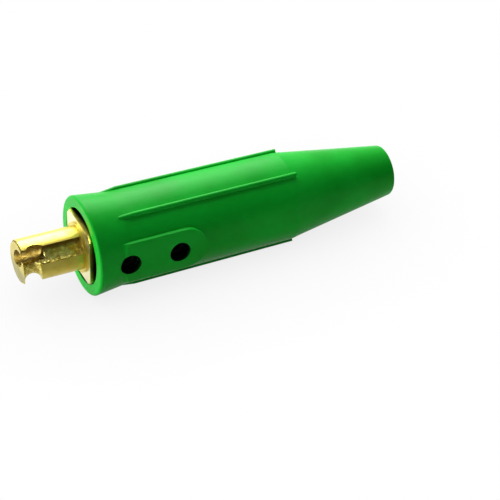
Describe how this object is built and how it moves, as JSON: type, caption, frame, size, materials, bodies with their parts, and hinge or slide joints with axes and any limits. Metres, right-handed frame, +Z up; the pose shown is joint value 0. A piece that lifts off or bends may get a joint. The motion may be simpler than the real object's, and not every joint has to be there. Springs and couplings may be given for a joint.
{
  "type": "welding cable plug",
  "caption": "Inline welding cable plug: brass cam-lock contact pin on a square clamp body with set screws, in a ribbed tapered insulating sleeve.",
  "frame": {"origin": "on the axis, at the shoulder where the contact pin leaves its collar", "axes": "+X along the axis towards the cable end, -X towards the tip of the pin, -Y out of the two access holes, +Z up"},
  "size_m": [0.1521, 0.038, 0.038],
  "materials": {
    "sleeve": "smooth moulded, slight gloss",
    "brass": "turned and milled, bright",
    "screw": "black oxide"
  },
  "bodies": {
    "plug": {"insulating_sleeve": "sleeve", "brass_body": "brass"},
    "front_screw": {"front_set_screw": "screw"},
    "rear_screw": {"rear_set_screw": "screw"}
  },
  "joints": [
    {"name": "front_screw_travel", "type": "slide", "parent": "plug", "child": "front_screw", "axis": [0, 1, 0], "range_m": [0, 0.0045]},
    {"name": "rear_screw_travel", "type": "slide", "parent": "plug", "child": "rear_screw", "axis": [0, 1, 0], "range_m": [0, 0.0045]}
  ]
}
